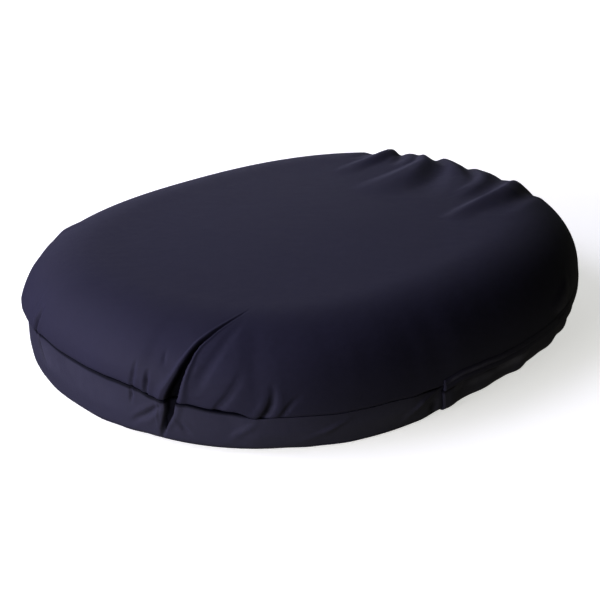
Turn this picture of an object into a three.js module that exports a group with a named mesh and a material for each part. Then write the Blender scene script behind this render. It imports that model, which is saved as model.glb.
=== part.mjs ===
// Orthopedic ring cushion: an oval padded seat cushion with a sewn side band and a lapped closure.
// Millimetres, +Z up, the base lies on z = 0 and the centre of the cushion is on the Z axis.
//
// Places on the cover are given in two ways. Along the rim, u runs counter-clockwise from +X and
// v runs over the cover from the top seam, positive up the top panel and negative down the band.
// On the flat of the top, x and y are used.
import * as THREE from "three";

// Plan of the cushion: an oval, a little wider at the -X end
const HALF_LENGTH = 228.5;
const HALF_WIDTH = 184.8;
const OVAL_POWER = 2.34;
const END_TAPER = -0.04;

// Section of the cushion
const SHOULDER_HEIGHT = 81.9;
const CROWN_RISE = 2.0;
const SHOULDER_REACH = 51.7;
const SHOULDER_POWER = 1.98;
const BELLY_HEIGHT = 2.9;
const SEAM_INSET = 3.05;
const BASE_INSET = 4.7;
const BASE_ROUNDING = 4.0;
const BAND_FLARE_HEIGHT = 18.0;

// Height of the top seam over the floor: a mean and its slow changes round the rim
const SEAM_HEIGHT = 27.4;
const SEAM_END_DROP = -7.1;
const SEAM_SIDE_RISE = 0.6;
const SEAM_END_LIFT = 4.7;
const SEAM_DIAGONAL_LIFT = -1.9;

// Cloth pieces
const CLOTH = 2.0;
const GAP = 0.4;
const LEDGE_DROP = 0.8;
const BAND_TOP_DROP = 0.5;

// Closure round the +X end: it covers the rim from the front joint to the back joint
const JOINT_FRONT = 963.0;
const JOINT_BACK = 22.5;
const JOINT_SLANT = 4.5;
const LAP = 7.0;
const REBATE_STEP = 0.8;
const STRIP_TOP_DROP = 1.9;

// Mesh steps along the rim: each row starts at u and holds up to the next row
const RIM_PITCHES = [
  { u: 0, pitch: 8 },
  { u: 40, pitch: 11.5 },
  { u: 590, pitch: 6 },
  { u: 645, pitch: 11 },
  { u: 722, pitch: 5 },
  { u: 745, pitch: 3.4 },
  { u: 782, pitch: 4.2 },
  { u: 812, pitch: 5.5 },
  { u: 850, pitch: 11 },
  { u: 925, pitch: 6.5 },
  { u: JOINT_FRONT, pitch: 7 },
  { u: 1290, pitch: 8 },
];

// Mesh steps over the section, as shares of each stretch
const BELLY_STEPS = [0, 0.5, 1];
const SHOULDER_STEPS = [0.1, 0.2, 0.32, 0.46, 0.62, 0.8, 1];
const CROWN_STEPS = [0.1, 0.22, 0.36, 0.52, 0.7, 0.87];
const BAND_STEPS = [0, 0.22, 0.46, 0.72, 1];
const BASE_EDGE_STEPS = [0, 0.5, 1];

// Folds by the rim. Each station is u, v, the half width and the rise of the fold's middle line.
// A negative rise is a valley, and puff is how much the edges beside it rise, as a share of its depth.
const RIM_COLUMN_NAMES = ["u", "v", "reach", "rise"];
const RIM_FOLDS = {
  frontCrease: {
    puff: 0.22,
    stations: [
      [808, 95, 7, 0],
      [795, 71, 8, -0.8],
      [780, 48, 8, -2.0],
      [767, 23, 8, -4.5],
      [760, 3, 8.5, -7.5],
      [756, -12, 6.5, -5.0],
      [752.5, -25, 4, 0],
    ],
  },
  frontPleatA: { puff: 0.15, stations: [[806, 28, 6, 0], [799, 14, 6, -1.6], [789, 2, 5, -1.0]] },
  frontPleatB: { puff: 0.15, stations: [[831, 24, 7, 0], [827, 8, 6, -1.4], [820, -3, 6, -1.4]] },
  frontPleatC: { puff: 0.15, stations: [[849, 18, 7, 0], [841, 8, 6, -1.0], [834, 1, 6, 0]] },
  upperTuckA: { puff: 0.2, stations: [[741, 24, 6, 0], [741, 12, 6, -1.4], [740, 2, 6, -0.6]] },
  upperTuckB: { puff: 0.2, stations: [[729, 24, 6, 0], [730, 10, 6, -1.6], [728, -4, 6, -1.6]] },
  leftEndTuck: { puff: 0.2, stations: [[619, 24, 8, 0], [615, 9, 8, -2.2], [611, 1, 7, -2.0]] },
  leftEndFold: { puff: 0.2, stations: [[611, -2, 8, -2.0], [619, -18, 7, -1.4], [628, -26, 6, 0]] },
  leftCornerSwell: { puff: 0, stations: [[563, 22, 12, 0], [564, 12, 12, 1.6], [566, 2, 12, 0]] },
  bandFoldA: { puff: 0, stations: [[751, -7, 5, 1.2], [741, -16, 6, 1.8], [726, -29, 6, 0.6]] },
  bandFoldB: { puff: 0, stations: [[764, -12, 5, 1.2], [769, -20, 5, 1.2], [775, -26, 5, 0]] },
  bandFoldC: { puff: 0.1, stations: [[820, -3, 6, -1.2], [810, -12, 6, -1.4], [801, -20, 6, 0]] },
  bandFoldD: { puff: 0.1, stations: [[887, -4, 8, 0], [866, -13, 8, -1.2], [850, -18, 8, 0]] },
  jointFold: { puff: 0, stations: [[957, -2, 6, 0.2], [945, -6, 6, 1.8], [930, -17, 7, 0.4]] },
  rightEndTuckA: { puff: 0.1, stations: [[1094, 24, 9, 0], [1110, 12, 9, -1.2], [1130, 6, 8, 0]] },
  rightEndTuckB: { puff: 0.1, stations: [[1144, 58, 12, 0], [1150, 40, 12, -1.8], [1158, 14, 11, -0.8]] },
};
const PUFF_START = 0.4;

// Ridges where the cover is gathered on the flat of the +X end: x, y, half width and rise
const TOP_COLUMN_NAMES = ["x", "y", "reach", "rise"];
const TOP_RIDGES = [
  [[70, 60, 20, 0], [104, 72, 19, 1.8], [145, 82, 18, 3.4], [176, 86, 17, 3.2], [222, 90, 15, 1.2]],
  [[88, 16, 20, 0], [124, 25, 19, 1.8], [160, 34, 18, 3.4], [190, 42, 16, 3.2], [226, 46, 15, 1.0]],
  [[96, -40, 17, 0], [136, -27, 16, 1.5], [170, -19, 15, 2.4], [198, -14, 14, 2.0], [226, -12, 14, 0.6]],
  [[84, -70, 18, 0], [113, -63, 17, 1.7], [156, -57, 16, 3.2], [184, -51, 15, 2.8], [220, -46, 14, 0.8]],
];
const RIDGE_FADE_LOW = 6;
const RIDGE_FADE_HIGH = 42;

// Gathers of the closure strip: place along the rim, half width and how far each one stands out
const GATHERS = [
  { u: 1009, reach: 19, rise: 1.6 },
  { u: 1045, reach: 20, rise: 2.2 },
  { u: 1083, reach: 17, rise: 1.2 },
  { u: 1120, reach: 20, rise: 1.9 },
  { u: 1160, reach: 21, rise: 1.4 },
  { u: 1199, reach: 18, rise: 2.0 },
  { u: 1235, reach: 19, rise: 1.3 },
  { u: 1274, reach: 21, rise: 1.8 },
  { u: 1313, reach: 18, rise: 1.3 },
];

// Section of the closure lip, bottom to top: inset from the widest rim, and rise over the seam
const LIP_OUTER = [[-1.2, -1.4], [-2.4, 1.5], [-2.1, 4.4]];
const LIP_INNER = [[0.8, -1.0], [-0.4, 2.4], [-0.4, 4.8]];
const LIP_GATHER_SHARE = 0.35;

// Plan outline and its length

function outlineAt(angle) {
  const c = Math.cos(angle);
  const s = Math.sin(angle);
  const radius = (Math.abs(c) ** OVAL_POWER + Math.abs(s) ** OVAL_POWER) ** (-1 / OVAL_POWER);
  const x = HALF_LENGTH * radius * c;
  const y = HALF_WIDTH * radius * s * (1 + END_TAPER * x / HALF_LENGTH);
  return new THREE.Vector2(x, y);
}

// Lengths along the outline up to each of many equal turns
const OUTLINE_PARTS = 2880;
const OUTLINE_LENGTHS = [0];
for (let i = 1; i <= OUTLINE_PARTS; i += 1) {
  const before = outlineAt((2 * Math.PI * (i - 1)) / OUTLINE_PARTS);
  const after = outlineAt((2 * Math.PI * i) / OUTLINE_PARTS);
  OUTLINE_LENGTHS.push(OUTLINE_LENGTHS[i - 1] + before.distanceTo(after));
}
const RIM_LENGTH = OUTLINE_LENGTHS[OUTLINE_PARTS];

// Finds the angle whose outline point lies at the length u from +X
function angleAt(u) {
  const target = ((u % RIM_LENGTH) + RIM_LENGTH) % RIM_LENGTH;
  let low = 0;
  let high = OUTLINE_PARTS;
  while (high - low > 1) {
    const middle = Math.floor((low + high) / 2);
    if (OUTLINE_LENGTHS[middle] <= target) {
      low = middle;
    } else {
      high = middle;
    }
  }
  const share = (target - OUTLINE_LENGTHS[low]) / (OUTLINE_LENGTHS[high] - OUTLINE_LENGTHS[low]);
  return (2 * Math.PI * (low + share)) / OUTLINE_PARTS;
}

const SMALL_TURN = 0.002;

// A place on the rim: its point, its outward direction and the height of the top seam there
function rimAt(u) {
  const angle = angleAt(u);
  const along = outlineAt(angle + SMALL_TURN).sub(outlineAt(angle - SMALL_TURN)).normalize();
  const seam = SEAM_HEIGHT
    + SEAM_END_DROP * Math.cos(angle)
    + SEAM_SIDE_RISE * Math.sin(angle)
    + SEAM_END_LIFT * Math.cos(2 * angle)
    + SEAM_DIAGONAL_LIFT * Math.sin(2 * angle);
  return { u, point: outlineAt(angle), out: new THREE.Vector2(along.y, -along.x), seam };
}

// Folds

function smooth(low, high, value) {
  const t = Math.min(1, Math.max(0, (value - low) / (high - low)));
  return t * t * (3 - 2 * t);
}

function named(columns, rows) {
  return rows.map((row) => Object.fromEntries(columns.map((name, i) => [name, row[i]])));
}

const FOLDS = Object.values(RIM_FOLDS).map(({ puff, stations }) => {
  return { puff, stations: named(RIM_COLUMN_NAMES, stations) };
});
const RIDGES = TOP_RIDGES.map((stations) => named(TOP_COLUMN_NAMES, stations));

// Rise of one fold at the place (a, b), from the nearest point of its line of stations
function foldRise(stations, keyA, keyB, puff, a, b) {
  let nearest = { distance: Infinity };
  for (let i = 1; i < stations.length; i += 1) {
    const from = stations[i - 1];
    const to = stations[i];
    const runA = to[keyA] - from[keyA];
    const runB = to[keyB] - from[keyB];
    const along = ((a - from[keyA]) * runA + (b - from[keyB]) * runB) / (runA * runA + runB * runB);
    const share = Math.min(1, Math.max(0, along));
    const distance = Math.hypot(a - from[keyA] - share * runA, b - from[keyB] - share * runB);
    if (distance < nearest.distance) {
      const reach = from.reach + share * (to.reach - from.reach);
      const rise = from.rise + share * (to.rise - from.rise);
      nearest = { distance, reach, rise };
    }
  }
  const across = nearest.distance / nearest.reach;
  const middle = across < 1 ? Math.cos((Math.PI / 2) * across) ** 2 : 0;
  const edge = across < 2 ? Math.sin((Math.PI / 2) * across) ** 2 * smooth(PUFF_START, 1, across) : 0;
  return nearest.rise * (middle - puff * edge);
}

// How far all the folds lift the cover at a place near the rim
function rimLift(u, v) {
  return FOLDS.reduce((sum, fold) => sum + foldRise(fold.stations, "u", "v", fold.puff, u, v), 0);
}

function topLift(x, y, v) {
  const fade = smooth(RIDGE_FADE_LOW, RIDGE_FADE_HIGH, v);
  return fade * RIDGES.reduce((sum, stations) => sum + foldRise(stations, "x", "y", 0, x, y), 0);
}

function gatherRise(u) {
  return GATHERS.reduce((sum, gather) => {
    const across = Math.abs(u - gather.u) / gather.reach;
    return sum + (across < 1 ? gather.rise * Math.cos((Math.PI / 2) * across) ** 2 : 0);
  }, 0);
}

// Points of the cover

// A point at an inset from the rim, pushed out by lift along (out, up)
function coverPoint(rim, inset, z, out, up, lift) {
  const reach = lift * out - inset;
  return new THREE.Vector3(rim.point.x + rim.out.x * reach, rim.point.y + rim.out.y * reach, z + up * lift);
}

// The band leans in a little towards the base
function bandInset(z) {
  return BASE_INSET + (SEAM_INSET - BASE_INSET) * smooth(0, BAND_FLARE_HEIGHT, z);
}

function bandPoint(rim, z, lift) {
  return coverPoint(rim, bandInset(z), z, 1, 0, lift + rimLift(rim.u, z - rim.seam));
}

// The top panel's places from the seam to the edge of the flat, each with its outward direction
function topSection(rim) {
  const belly = BELLY_STEPS.map((share) => {
    const turn = (Math.PI / 2) * share;
    return {
      inset: SEAM_INSET * (1 - Math.sin(turn)),
      z: rim.seam + BELLY_HEIGHT * (1 - Math.cos(turn)),
      out: 1,
      up: 0,
    };
  });
  const start = rim.seam + BELLY_HEIGHT;
  const rise = SHOULDER_HEIGHT - start;
  const shoulder = SHOULDER_STEPS.map((share) => {
    const turn = (Math.PI / 2) * share;
    return {
      inset: SHOULDER_REACH * (1 - Math.cos(turn) ** (2 / SHOULDER_POWER)),
      z: start + rise * Math.sin(turn) ** (2 / SHOULDER_POWER),
      out: Math.cos(turn),
      up: Math.sin(turn),
    };
  });
  return [...belly, ...shoulder];
}

// Solids

function solid(points, triangles) {
  const geometry = new THREE.BufferGeometry();
  const values = points.flatMap((point) => [point.x, point.y, point.z]);
  geometry.setAttribute("position", new THREE.Float32BufferAttribute(values, 3));
  geometry.setIndex(triangles.flat());
  geometry.computeVertexNormals();
  return geometry;
}

// Joins closed rings of points, given from bottom to top, and closes the first and last ones.
// A ring of one point is a pole, and any other end ring is filled as a flat face.
function ringSolid(rings) {
  const count = rings[0].length;
  const points = rings.flat();
  const triangles = [];
  for (let r = 1; r < rings.length; r += 1) {
    const low = (r - 1) * count;
    const high = r * count;
    for (let i = 0; i < count; i += 1) {
      const next = (i + 1) % count;
      if (rings[r].length === 1) {
        triangles.push([low + i, low + next, high]);
      } else {
        triangles.push([low + i, low + next, high + next]);
        triangles.push([low + i, high + next, high + i]);
      }
    }
  }
  const faceOf = (ring) => {
    const outline = ring.map((point) => new THREE.Vector2(point.x, point.y));
    return THREE.ShapeUtils.triangulateShape(outline, []);
  };
  faceOf(rings[0]).forEach(([a, b, c]) => triangles.push([c, b, a]));
  const last = rings[rings.length - 1];
  if (last.length > 1) {
    const start = (rings.length - 1) * count;
    faceOf(last).forEach(([a, b, c]) => triangles.push([start + a, start + b, start + c]));
  }
  return solid(points, triangles);
}

// A strip along the rim from sections that each hold an outer and an inner line, bottom to top
function stripSolid(sections) {
  const high = sections[0].outer.length;
  const count = 2 * high;
  const points = sections.flatMap(({ outer, inner }) => [...outer, ...inner]);
  const triangles = [];
  const quad = (a, b, c, d) => triangles.push([a, b, c], [a, c, d]);
  for (let s = 1; s < sections.length; s += 1) {
    const here = (s - 1) * count;
    const there = s * count;
    for (let i = 1; i < high; i += 1) {
      quad(here + i - 1, there + i - 1, there + i, here + i);
      quad(here + high + i - 1, here + high + i, there + high + i, there + high + i - 1);
    }
    quad(here + high, there + high, there, here);
    quad(here + high - 1, there + high - 1, there + count - 1, here + count - 1);
  }
  const end = (sections.length - 1) * count;
  for (let i = 1; i < high; i += 1) {
    quad(i - 1, i, high + i, high + i - 1);
    quad(end + high + i - 1, end + high + i, end + i, end + i - 1);
  }
  return solid(points, triangles);
}

// Places along the rim where the mesh has a column

const BAND_START = JOINT_BACK - LAP;
const BAND_END = JOINT_FRONT + LAP;
const REBATE_START = BAND_START - GAP;
const REBATE_END = BAND_END + GAP;

function rimColumns() {
  const fixed = [
    REBATE_START - REBATE_STEP,
    REBATE_START,
    BAND_START,
    JOINT_BACK,
    BAND_END,
    REBATE_END,
    REBATE_END + REBATE_STEP,
    RIM_LENGTH,
  ];
  const stops = [...new Set([...fixed, ...RIM_PITCHES.map((row) => row.u)])].sort((a, b) => a - b);
  const columns = [];
  for (let i = 1; i < stops.length; i += 1) {
    const from = stops[i - 1];
    const length = stops[i] - from;
    const { pitch } = RIM_PITCHES.findLast((row) => row.u <= from);
    const parts = Math.max(1, Math.round(length / pitch));
    for (let k = 0; k < parts; k += 1) {
      columns.push(from + (length * k) / parts);
    }
  }
  return columns;
}

const COLUMNS = rimColumns();
const RIM = COLUMNS.map(rimAt);

// Pieces of the cushion

function isRebated(u) {
  return u >= REBATE_START && u <= REBATE_END;
}

// The filled body: flat underside, a side wall set back behind the band, and the crowned top
function cushionBody() {
  const underside = CLOTH + GAP;
  const wall = (rim, z) => bandPoint(rim, z, isRebated(rim.u) ? -(CLOTH + GAP) : 0);
  const sideRings = BAND_STEPS.map((share) => RIM.map((rim) => {
    return wall(rim, underside + share * (rim.seam - LEDGE_DROP - GAP - underside));
  }));
  const ledge = RIM.map((rim) => wall(rim, rim.seam - LEDGE_DROP));
  const sections = RIM.map((rim) => {
    let v = 0;
    let before = null;
    return topSection(rim).map((place) => {
      v += before ? Math.hypot(place.inset - before.inset, place.z - before.z) : 0;
      before = place;
      const flat = coverPoint(rim, place.inset, place.z, 0, 0, 0);
      const lift = rimLift(rim.u, v) + topLift(flat.x, flat.y, v);
      return { ...place, v, point: coverPoint(rim, place.inset, place.z, place.out, place.up, lift) };
    });
  });
  const topRings = sections[0].map((_, row) => sections.map((section) => section[row].point));
  const crownRings = CROWN_STEPS.map((share) => RIM.map((rim, i) => {
    const edge = coverPoint(rim, SHOULDER_REACH, SHOULDER_HEIGHT, 0, 0, 0);
    const reach = 1 - share;
    const x = edge.x * reach;
    const y = edge.y * reach;
    const v = sections[i].at(-1).v + share * Math.hypot(edge.x, edge.y);
    const crown = CROWN_RISE * (1 - reach * reach) ** 2;
    return new THREE.Vector3(x, y, SHOULDER_HEIGHT + crown + rimLift(rim.u, v) + topLift(x, y, v));
  }));
  const peak = [new THREE.Vector3(0, 0, SHOULDER_HEIGHT + CROWN_RISE)];
  return ringSolid([...sideRings, ledge, ...topRings, ...crownRings, peak]);
}

function sideBand() {
  const rims = RIM.filter((rim) => rim.u >= BAND_START && rim.u <= BAND_END);
  const bottom = CLOTH + GAP;
  return stripSolid(rims.map((rim) => {
    const outerTop = rim.seam - BAND_TOP_DROP;
    const innerTop = rim.seam - LEDGE_DROP - GAP;
    return {
      outer: BAND_STEPS.map((share) => bandPoint(rim, bottom + share * (outerTop - bottom), 0)),
      inner: BAND_STEPS.map((share) => bandPoint(rim, bottom + share * (innerTop - bottom), -CLOTH)),
    };
  }));
}

function closureRims() {
  const front = RIM.filter((rim) => rim.u >= JOINT_FRONT);
  const back = RIM.filter((rim) => rim.u <= JOINT_BACK);
  return [...front, ...back];
}

// The strip stands outside the body, with its gathers, and its front end slants a little
function closureStrip() {
  const bottom = CLOTH + GAP;
  return stripSolid(closureRims().map((rim, i) => {
    const top = rim.seam - STRIP_TOP_DROP;
    const line = (offset) => BAND_STEPS.map((share) => {
      const place = i === 0 ? rimAt(rim.u + JOINT_SLANT * (1 - share)) : rim;
      return bandPoint(place, bottom + share * (top - bottom), offset + gatherRise(rim.u));
    });
    return { outer: line(GAP + CLOTH), inner: line(GAP) };
  }));
}

function closureLip() {
  return stripSolid(closureRims().map((rim) => {
    const push = LIP_GATHER_SHARE * gatherRise(rim.u);
    const line = (rows) => rows.map(([inset, rise]) => coverPoint(rim, inset, rim.seam + rise, 1, 0, push));
    return { outer: line(LIP_OUTER), inner: line(LIP_INNER) };
  }));
}

function basePanel() {
  const edge = BASE_EDGE_STEPS.map((share) => {
    const turn = (Math.PI / 2) * share;
    const inset = BASE_INSET + BASE_ROUNDING * (1 - Math.sin(turn));
    const z = CLOTH * (1 - Math.cos(turn));
    return RIM.filter((_, i) => i % 2 === 0).map((rim) => coverPoint(rim, inset, z, 0, 0, 0));
  });
  return ringSolid(edge);
}

// Materials and nodes

function cloth(color, roughness) {
  return new THREE.MeshStandardMaterial({ color, roughness, metalness: 0 });
}

function piece(name, geometry, material) {
  const mesh = new THREE.Mesh(geometry, material);
  mesh.name = name;
  return mesh;
}

const cushion = new THREE.Group();
cushion.add(piece("cushion_body", cushionBody(), cloth(0x23233a, 0.62)));
cushion.add(piece("side_band", sideBand(), cloth(0x272740, 0.62)));
cushion.add(piece("closure_strip", closureStrip(), cloth(0x292942, 0.62)));
cushion.add(piece("closure_lip", closureLip(), cloth(0x2c2c46, 0.6)));
cushion.add(piece("base_panel", basePanel(), cloth(0x1d1d2c, 0.75)));

// The closure stands out at the +X end only, so the whole is moved until its middle is on the Z axis
const extent = new THREE.Box3().setFromObject(cushion);
const middle = extent.getCenter(new THREE.Vector3());
cushion.position.set(-middle.x, -middle.y, -extent.min.z);
cushion.updateMatrixWorld(true);

export default cushion;
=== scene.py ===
"""Orthopedic ring cushion: the sewn navy cover on its foam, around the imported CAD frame.

Sizes are in millimetres until a mesh is made. Along the rim, u runs counter-clockwise from +X, and v
runs over the cover from the top seam: up the top panel and, below zero, down the side band.
"""

import math
from collections import namedtuple

import bpy
import numpy as np
from mathutils import Matrix, Vector


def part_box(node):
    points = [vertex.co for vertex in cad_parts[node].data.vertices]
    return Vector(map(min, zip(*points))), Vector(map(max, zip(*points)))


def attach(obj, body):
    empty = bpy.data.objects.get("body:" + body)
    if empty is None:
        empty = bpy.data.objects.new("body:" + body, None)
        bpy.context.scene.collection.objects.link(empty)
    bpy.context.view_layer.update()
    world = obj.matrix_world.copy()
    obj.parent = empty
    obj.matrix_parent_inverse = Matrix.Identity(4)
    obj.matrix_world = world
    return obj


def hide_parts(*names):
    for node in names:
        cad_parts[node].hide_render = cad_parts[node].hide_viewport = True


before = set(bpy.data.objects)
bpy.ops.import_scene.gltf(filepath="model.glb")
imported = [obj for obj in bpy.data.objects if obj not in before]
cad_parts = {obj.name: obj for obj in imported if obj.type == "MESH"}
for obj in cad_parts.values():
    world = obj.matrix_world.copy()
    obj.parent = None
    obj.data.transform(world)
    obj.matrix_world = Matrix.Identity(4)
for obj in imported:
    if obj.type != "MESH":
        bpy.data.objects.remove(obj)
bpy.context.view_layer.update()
MM = 0.001

# Plan and section of the cushion, as in the part's own source
HALF_LENGTH = 228.5
HALF_WIDTH = 184.8
OVAL_POWER = 2.34
END_TAPER = -0.04
TOP_HEIGHT = 83.0
CROWN_RISE = 1.2
SHOULDER_REACH = 66.5
SHOULDER_REACH_POWER = 2.54
SHOULDER_RISE_POWER = 1.95
BELLY_HEIGHT = 2.9
BASE_INSET = 4.7
BASE_ROUNDING = 2.6
BAND_FLARE_HEIGHT = 18.0
SEAM_HEIGHT = 27.4
SEAM_END_DROP = -7.1
SEAM_SIDE_RISE = 0.6
SEAM_END_LIFT = 4.7
SEAM_DIAGONAL_LIFT = -1.9

# Cloth and closure
CLOTH = 2.0
GAP = 0.4
JOINT_FRONT = 963.0
JOINT_BACK = 22.5
JOINT_SLANT = 4.5
LAP = 7.0

# Share of a section, from the seam to the middle of the top, where each stretch ends
BELLY_END = 0.08
SHOULDER_END = 0.5

# Small rises of the top seam, where folds and the closure pull it out of its even line: u, rise
SEAM_PULLS = [
    (604, 0), (627, 1.8), (652, 0.4), (684, 0.7), (702, 1.5), (718, 2.6), (734, 2.6), (746, 0.2),
    (757, 0), (774, 1.2), (790, 0.3), (806, 0.3), (819, -1.8), (838, 0), (860, 0.5), (878, 0.2),
    (897, 1.0), (921, 2.0), (943, 1.0), (960, 0.2), (983, 3.0), (1005, 2.4), (1025, 1.0),
    (1050, 0.6), (1100, 0),
]

# Folds. Each station is u, v, half width and rise of the fold's middle line: a valley is negative.
# left and right are where its bottom starts and ends across it, from -1 to 1. sharp makes the bottom
# a crease, slope deepens it from left to right, and puff is how far its edges stand up.
Fold = namedtuple("Fold", "stations left right sharp slope puff")


def fold(stations, left=-0.05, right=0.05, sharp=0.0, slope=0.0, puff=0.0):
    """One fold; a plain one is smooth and even on both sides."""
    return Fold(stations, left, right, sharp, slope, puff)


FRONT_TUCK = [
    (815, 90, 0.9, 0),
    (808, 83.5, 1.2, -0.25),
    (801, 77, 1.25, -0.6),
    (794.2, 69.9, 1.3, -1.1),
    (787.7, 62.8, 1.4, -1.9),
    (783.0, 56.3, 1.55, -2.8),
    (778.5, 50.2, 1.65, -3.5),
    (775.6, 44.8, 1.75, -4.2),
    (773.6, 40, 1.95, -4.9),
    (772.3, 35.5, 2.3, -5.7),
    (770.4, 31.1, 2.6, -6.5),
    (769.2, 26.9, 2.85, -7.2),
    (767.8, 22.7, 3.2, -7.8),
    (766.4, 18.5, 3.7, -8.4),
    (765, 14.2, 4.3, -8.9),
    (763.4, 9.6, 4.7, -9.3),
    (760.2, 0, 5.1, -9.6),
]
TOP_FOLDS = [
    fold(FRONT_TUCK, left=-0.55, right=0.78, slope=0.42, puff=0.17),
    fold([(812, 80, 5, 0), (797, 52, 6, -0.5), (785, 28, 6, -0.9), (778, 12, 5.5, 0)]),
    fold([(812.5, 34, 4.6, 0), (808.5, 24, 4.8, -0.6), (802.5, 15, 4.4, -0.9), (796.5, 7.5, 4.0, -1.1),
        (792.5, 0, 4, -1.1)],
        left=-0.3, right=0.1, sharp=0.2, puff=0.1),
    fold([(832, 26, 3, 0), (833.5, 18, 3.4, -0.7), (832, 10.5, 3.8, -2.0), (829, 5, 3.6, -2.6),
        (824.5, -1, 3.8, -1.8)],
        left=-0.2, right=0.1, sharp=0.4, puff=0.22),
    fold([(854, 17, 2.6, 0), (847, 12, 3, -0.7), (842.5, 7, 3, -1.3), (838.5, 1, 3, -0.6)],
        left=-0.3, right=0, sharp=0.4),
    fold([(744, 24, 1.8, 0), (743.8, 15, 2.2, -2.4), (743.4, 5, 2, -1.2), (743, 0, 2, -0.6)],
        left=-0.3, right=0, sharp=0.5, puff=0.15),
    fold([(733.5, 26, 2, 0), (733, 14, 2.4, -1.4), (731.5, 4, 2, -1.0)],
        left=-0.3, right=0, sharp=0.5, puff=0.15),
    fold([(753, 41, 1.8, 0), (754.2, 34, 2, -0.8), (755.2, 28, 1.8, 0)], left=-0.3, right=0, sharp=0.5),
    fold([(622, 27, 2.4, 0), (620, 18, 2.8, -2.0), (617, 9, 3.0, -2.7), (614, 1, 3, -1.0)],
        left=-0.4, right=-0.1, sharp=0.4, puff=0.25),
    fold([(604, 40, 6, 0), (606, 27, 7, -0.7), (609, 14, 6, 0)]),
    fold([(560, 27, 12, 0), (566, 14, 12, 1.2), (572, 6, 10, 0.6)]),
    fold([(500, 40, 16, 0), (522, 28, 16, -1.4), (543, 19, 12, -0.9), (552, 13, 10, 0)]),
    fold([(466, 58, 20, 0), (480, 45, 18, 1.6), (490, 34, 14, 0)]),
    fold([(1094, 16, 5, 0), (1108, 10, 5.5, -1.2), (1130, 9, 5, 0)], left=-0.4, right=0, sharp=0.3),
    fold([(1094, 12, 12, 0), (1110, 15, 12, 1.3), (1124, 19, 11, 1.3), (1140, 26, 10, 0)],
        left=0.2, right=0.4),
    fold([(1172, 60, 40, 0), (1172, 30, 50, -0.6), (1170, 10, 58, -1.2), (1168, -6, 58, -1.2)]),
]
BAND_FOLDS = [
    fold([(760.2, 2, 4.9, -8.8), (759.4, -8, 3.8, -6.8), (756.6, -15, 2.9, -4.8),
        (754.2, -22, 2.2, -3.2), (752.5, -27, 1.6, -1.6), (751, -32, 1.2, 0)],
        left=-0.45, right=0.75, slope=0.5, puff=0.12),
    fold([(750, -4, 1.8, 0.7), (749.5, -14, 1.8, 1.0), (750, -24, 1.8, 0)]),
    fold([(755, -4, 2, 0), (749, -8, 2.2, -1.2), (744.5, -12.4, 2.4, -1.9), (738.5, -19, 2.6, -1.7),
        (731, -25, 2.4, -1.0), (724, -31, 2, 0)],
        left=-0.4, right=-0.1, sharp=0.4, puff=0.3),
    fold([(764, -12, 2, 0), (770, -18, 2.4, -1.5), (777, -24, 2, 0)],
        left=-0.4, right=-0.1, sharp=0.4, puff=0.2),
    fold([(728.5, -1, 2, -0.8), (728.5, -7, 2.2, -1.8), (727.5, -14, 2, 0)],
        left=-0.3, right=0, sharp=0.5, puff=0.1),
    fold([(611, -2, 2.4, -1.6), (615, -11, 2.8, -3.2), (620, -19, 2.8, -2.4), (626, -27, 2.8, 0)],
        left=-0.3, right=0, sharp=0.3, puff=0.3),
    fold([(826, 2, 3.4, -0.8), (825, -1.5, 3.6, -0.3), (823, -3.5, 3.6, 0)],
        left=-0.3, right=0, sharp=0.3),
    fold([(822.5, -3, 3.4, 0), (817.5, -7, 3.8, 0.8), (811, -13, 3.8, 1.0), (805, -19, 3.8, 0.7),
        (797, -25, 3.6, 0)],
        left=-0.1, right=0.1, sharp=0.3),
    fold([(889, -3, 2.6, 0), (872, -11, 2.8, 1.3), (855, -18, 2.8, 0.9), (845, -22, 2.6, 0)],
        left=0.1, right=0.3, sharp=0.4),
    fold([(957, -1, 2.4, 0.8), (945, -6, 3.0, 1.8), (934, -14, 3.2, 1.0), (926, -20, 3, 0)],
        left=0.3, right=0.5, sharp=0.4),
    fold([(958, -7, 4, 0), (956, -13, 5, -2.6), (957, -19, 4, -1.6)], left=0.5, right=0.9, sharp=0.2),
]

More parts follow.
